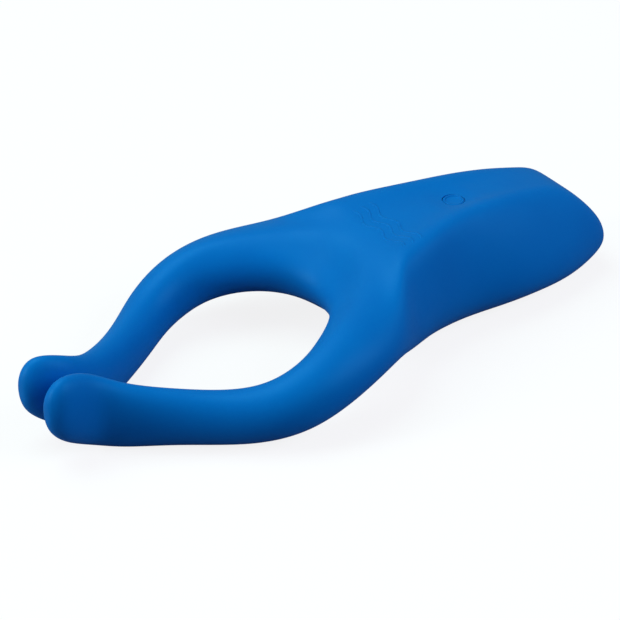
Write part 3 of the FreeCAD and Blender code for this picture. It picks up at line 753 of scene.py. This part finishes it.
MAKERS = {
    "blue_silicone": silicone,
    "case_plastic": lambda: moulded("case_plastic", (0.72, 0.73, 0.74), 0.5),
    "pod_plastic": lambda: moulded("pod_plastic", (0.62, 0.66, 0.70), 0.42, 0.2, 0.01),
    "switch_plastic": lambda: moulded("switch_plastic", (0.03, 0.03, 0.033), 0.45, 0.15, 0.01),
    "stem_plastic": lambda: moulded("stem_plastic", (0.80, 0.72, 0.50), 0.38, 0.15, 0.008),
    "board_laminate": laminate,
    "lamp_lens": lens,
    "cell_foil": foil,
    "cushion_foam": foam,
    "contact_gold": lambda: metal("contact_gold", (0.83, 0.60, 0.24), 0.22, (1, 8, 1), 0.004, 0.85),
    "magnet_nickel": lambda: metal("magnet_nickel", (0.66, 0.65, 0.62), 0.16, (1, 1, 1), 0.003, 0.9),
    "screw_steel": lambda: metal("screw_steel", (0.56, 0.57, 0.60), 0.3, (10, 1, 1)),
    "motor_steel": lambda: metal("motor_steel", (0.60, 0.61, 0.62), 0.28, (10, 1, 1)),
    "weight_metal": lambda: metal("weight_metal", (0.36, 0.36, 0.38), 0.48, (2, 2, 2), 0.03, 0.6),
    "core_steel": lambda: jacket("core_steel", (0.55, 0.56, 0.58), 2.0, 1.6, 1.0),
    "cable_jacket": lambda: jacket("cable_jacket", (0.30, 0.02, 0.02), 4.0, 2.4),
}


def node_slots():
    """Record slot of each CAD node."""
    slots = {}
    for node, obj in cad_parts.items():
        for slot in obj.material_slots:
            if slot.material:
                slots[node] = slot.material.name.split(".")[0]
    return slots


def dress(obj, name, made):
    obj.data.materials.clear()
    obj.data.materials.append(made[name])


# ---- light, floor and camera -------------------------------------------------------------


def build_floor():
    """Pale floor that looks bright but throws little light back up under the object."""
    reach = 3000
    corners = [(-reach, -reach, -0.02), (reach, -reach, -0.02), (reach, reach, -0.02), (-reach, reach, -0.02)]
    floor = mesh_object("floor", corners, [(0, 1, 2, 3)])
    finish = Finish("pale_floor")
    nodes = finish.tree.nodes
    nodes.remove(finish.surface)
    mottle = finish.noise(900, 2)
    tone = finish.mix(mottle, (0.93, 0.93, 0.94), (0.97, 0.97, 0.97))
    seen = finish.add("ShaderNodeAddShader")
    lit = finish.add("ShaderNodeBsdfDiffuse", {"Color": (0.16, 0.16, 0.165, 1.0)})
    glow = finish.add("ShaderNodeEmission", {"Color": tone, "Strength": 0.90})
    finish.tree.links.new(lit.outputs[0], seen.inputs[0])
    finish.tree.links.new(glow.outputs[0], seen.inputs[1])
    bounce = finish.add("ShaderNodeBsdfDiffuse", {"Color": (0.15, 0.17, 0.24, 1.0)})
    camera_ray = finish.add("ShaderNodeLightPath").outputs["Is Camera Ray"]
    pick = finish.add("ShaderNodeMixShader", {"Fac": camera_ray})
    finish.tree.links.new(bounce.outputs[0], pick.inputs[1])
    finish.tree.links.new(seen.outputs[0], pick.inputs[2])
    clear = finish.add("ShaderNodeBsdfTransparent")
    below = finish.add("ShaderNodeNewGeometry").outputs["Backfacing"]
    one_sided = finish.add("ShaderNodeMixShader", {"Fac": below})
    finish.tree.links.new(pick.outputs[0], one_sided.inputs[1])
    finish.tree.links.new(clear.outputs[0], one_sided.inputs[2])
    finish.tree.links.new(one_sided.outputs[0], nodes["Material Output"].inputs["Surface"])
    floor.data.materials.append(finish.material)


def add_light(name, place, target, size, power, colour=(1.0, 1.0, 1.0)):
    data = bpy.data.lights.new(name, "AREA")
    data.shape = "RECTANGLE"
    data.size, data.size_y = size
    data.energy = power
    data.color = colour
    light = bpy.data.objects.new(name, data)
    light.location = place
    light.rotation_euler = (Vector(target) - Vector(place)).to_track_quat("-Z", "Y").to_euler()
    bpy.context.scene.collection.objects.link(light)


def build_light():
    world = bpy.data.worlds.new("studio")
    world.use_nodes = True
    background = world.node_tree.nodes["Background"]
    background.inputs["Color"].default_value = (0.75, 0.85, 1.0, 1.0)
    background.inputs["Strength"].default_value = 0.13
    bpy.context.scene.world = world
    add_light("key", (-0.25, 0.35, 1.0), (0, 0, 0), (0.8, 0.8), 7.9, (0.7, 1.0, 0.88))
    add_light("fill", (0.55, -0.85, 0.75), (0, 0, 0), (0.7, 0.7), 8.0, (0.8, 0.82, 1.0))
    add_light("rim", (-0.9, 0.35, 0.35), (0, 0, 0.01), (0.25, 0.6), 5.0, (0.9, 0.95, 1.0))


CAMERA_AZIMUTH = math.radians(-35.06)
CAMERA_ELEVATION = math.radians(33.07)
CAMERA_ROLL = math.radians(-0.26)
CAMERA_DISTANCE = 688.0
CAMERA_TARGET = Vector((-3.0, 0.0, 10.0))
CAMERA_LENS = 159.0
CAMERA_SHIFT = (-0.0042, 0.0101)


def build_camera():
    data = bpy.data.cameras.new("camera")
    data.lens = CAMERA_LENS
    data.sensor_width = 36.0
    data.shift_x, data.shift_y = CAMERA_SHIFT
    data.clip_end = 20.0
    camera = bpy.data.objects.new("camera", data)
    flat = math.cos(CAMERA_ELEVATION)
    level = Vector((math.cos(CAMERA_AZIMUTH), math.sin(CAMERA_AZIMUTH), 0))
    away = Vector((level.y, -level.x, 0))
    back = away * flat + UP * math.sin(CAMERA_ELEVATION)
    right = level * math.cos(CAMERA_ROLL) + back.cross(level) * math.sin(CAMERA_ROLL)
    turned = Matrix((right, back.cross(right), back)).transposed().to_4x4()
    place = (CAMERA_TARGET + back * CAMERA_DISTANCE) * MM
    camera.matrix_world = Matrix.Translation(place) @ turned
    bpy.context.scene.collection.objects.link(camera)
    bpy.context.scene.camera = camera
    bpy.context.scene.view_settings.view_transform = "Standard"


# ---- everything --------------------------------------------------------------------------

made = {name: maker() for name, maker in MAKERS.items()}
slots = node_slots()
for node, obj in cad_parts.items():
    dress(obj, slots[node], made)

skins, whole_skin = build_skins()
skins += [build_button(), build_relief(whole_skin)]
bpy.data.meshes.remove(whole_skin)
for piece in skins:
    dress(piece, "blue_silicone", made)
for name, cord in build_cords().items():
    slot = "core_steel" if name.endswith("core") else "cable_jacket"
    dress(cord, slot, made)

build_floor()
build_light()
build_camera()
